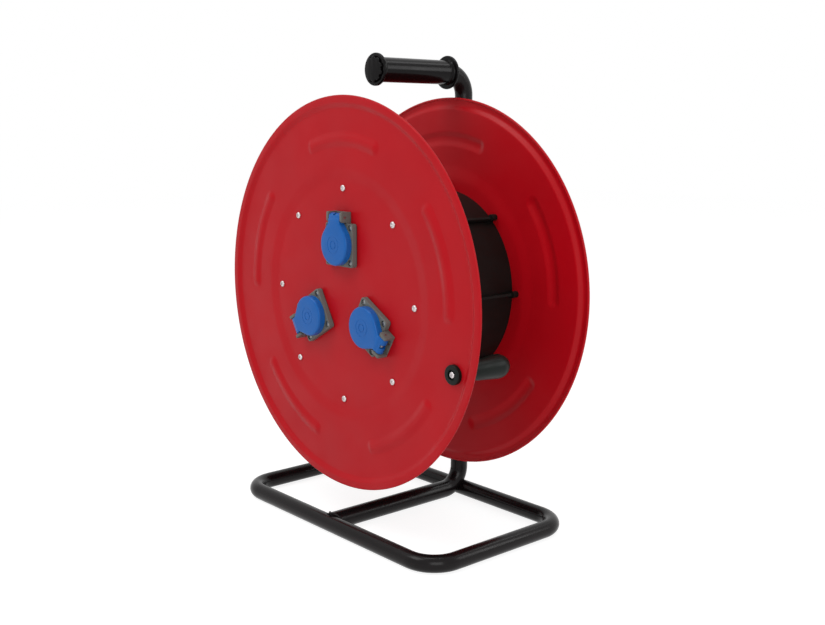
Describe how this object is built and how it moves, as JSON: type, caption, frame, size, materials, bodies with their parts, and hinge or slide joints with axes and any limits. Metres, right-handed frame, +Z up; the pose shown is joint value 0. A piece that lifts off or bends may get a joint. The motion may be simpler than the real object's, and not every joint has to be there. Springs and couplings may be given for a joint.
{
  "type": "extension cord reel",
  "caption": "Drum of two ribbed steel discs on a finned core, with three lidded sockets and a winding grip, on a bent-tube stand with a carrying grip.",
  "frame": {"origin": "on the floor, in the middle of the floor loop", "axes": "+Z up, -Y towards the flange with the sockets, +Y towards the post, +X to the right as seen from the sockets' side"},
  "size_m": [0.461, 0.2364, 0.5655],
  "materials": {
    "frame_black": "satin powder coat",
    "grip_black": "moulded",
    "flange_red": "satin powder coat",
    "core_black": "moulded",
    "lid_blue": "moulded satin",
    "plate_grey": "moulded",
    "winding_grip": "moulded satin",
    "zinc_steel": "zinc plated",
    "screw_steel": "bright plated",
    "dark_steel": "phosphated",
    "bush_ivory": "moulded",
    "seal_rubber": "matt",
    "contact_brass": "satin",
    "terminal_white": "moulded",
    "lead_black": "matt"
  },
  "bodies": {
    "stand": {"base_loop": "frame_black", "post_tube": "frame_black", "axle": "zinc_steel", "carry_grip": "grip_black", "grip_end_cap": "grip_black", "rear_thrust_washer": "zinc_steel", "front_thrust_washer": "zinc_steel", "axle_circlip": "dark_steel"},
    "drum": {"front_flange": "flange_red", "rear_flange": "flange_red", "drum_core": "core_black", "front_flange_screws": "screw_steel", "rear_flange_screws": "screw_steel", "drum_hub": "dark_steel", "hub_bolts": "zinc_steel", "hub_nuts": "zinc_steel", "rear_bush": "bush_ivory", "front_bush": "bush_ivory", "gland_body": "core_black", "gland_seal": "seal_rubber", "gland_nut": "core_black", "gland_locknut": "core_black", "terminal_block": "terminal_white", "internal_lead": "lead_black", "crank_bush": "core_black", "crank_washer": "zinc_steel", "crank_spindle": "zinc_steel", "crank_screw": "screw_steel", "crank_snap_ring": "dark_steel", "socket_body_top": "plate_grey", "socket_gasket_top": "seal_rubber", "pin_holder_top": "plate_grey", "contacts_top": "contact_brass", "hinge_pin_top": "zinc_steel", "lid_spring_top": "zinc_steel", "socket_body_left": "plate_grey", "socket_gasket_left": "seal_rubber", "pin_holder_left": "plate_grey", "contacts_left": "contact_brass", "hinge_pin_left": "zinc_steel", "lid_spring_left": "zinc_steel", "socket_body_right": "plate_grey", "socket_gasket_right": "seal_rubber", "pin_holder_right": "plate_grey", "contacts_right": "contact_brass", "hinge_pin_right": "zinc_steel", "lid_spring_right": "zinc_steel", "socket_screws": "zinc_steel", "socket_nuts": "zinc_steel", "terminal_covers": "plate_grey"},
    "lid_top": {"socket_lid_top": "lid_blue", "lid_seal_top": "seal_rubber"},
    "lid_left": {"socket_lid_left": "lid_blue", "lid_seal_left": "seal_rubber"},
    "lid_right": {"socket_lid_right": "lid_blue", "lid_seal_right": "seal_rubber"},
    "winding_grip": {"crank_grip": "winding_grip"}
  },
  "joints": [
    {"name": "drum_spin", "type": "hinge", "parent": "stand", "child": "drum", "pos_m": [0, -0.003, 0.285], "axis": [0, 1, 0], "continuous": true},
    {"name": "lid_top_hinge", "type": "hinge", "parent": "drum", "child": "lid_top", "pos_m": [0, -0.0929, 0.37705], "axis": [-1, 0, 0], "range_deg": [0, 110], "stiffness_Nm_per_rad": 0.02, "springref_deg": -45.84},
    {"name": "lid_left_hinge", "type": "hinge", "parent": "drum", "child": "lid_left", "pos_m": [-0.07972, -0.0929, 0.23897], "axis": [0.5, 0, -0.866], "range_deg": [0, 110], "stiffness_Nm_per_rad": 0.02, "springref_deg": -45.84},
    {"name": "lid_right_hinge", "type": "hinge", "parent": "drum", "child": "lid_right", "pos_m": [0.07972, -0.0929, 0.23897], "axis": [0.5, 0, 0.866], "range_deg": [0, 110], "stiffness_Nm_per_rad": 0.02, "springref_deg": -45.84},
    {"name": "winding_grip_spin", "type": "hinge", "parent": "drum", "child": "winding_grip", "pos_m": [0.19021, -0.045, 0.2232], "axis": [0, 1, 0], "continuous": true}
  ]
}
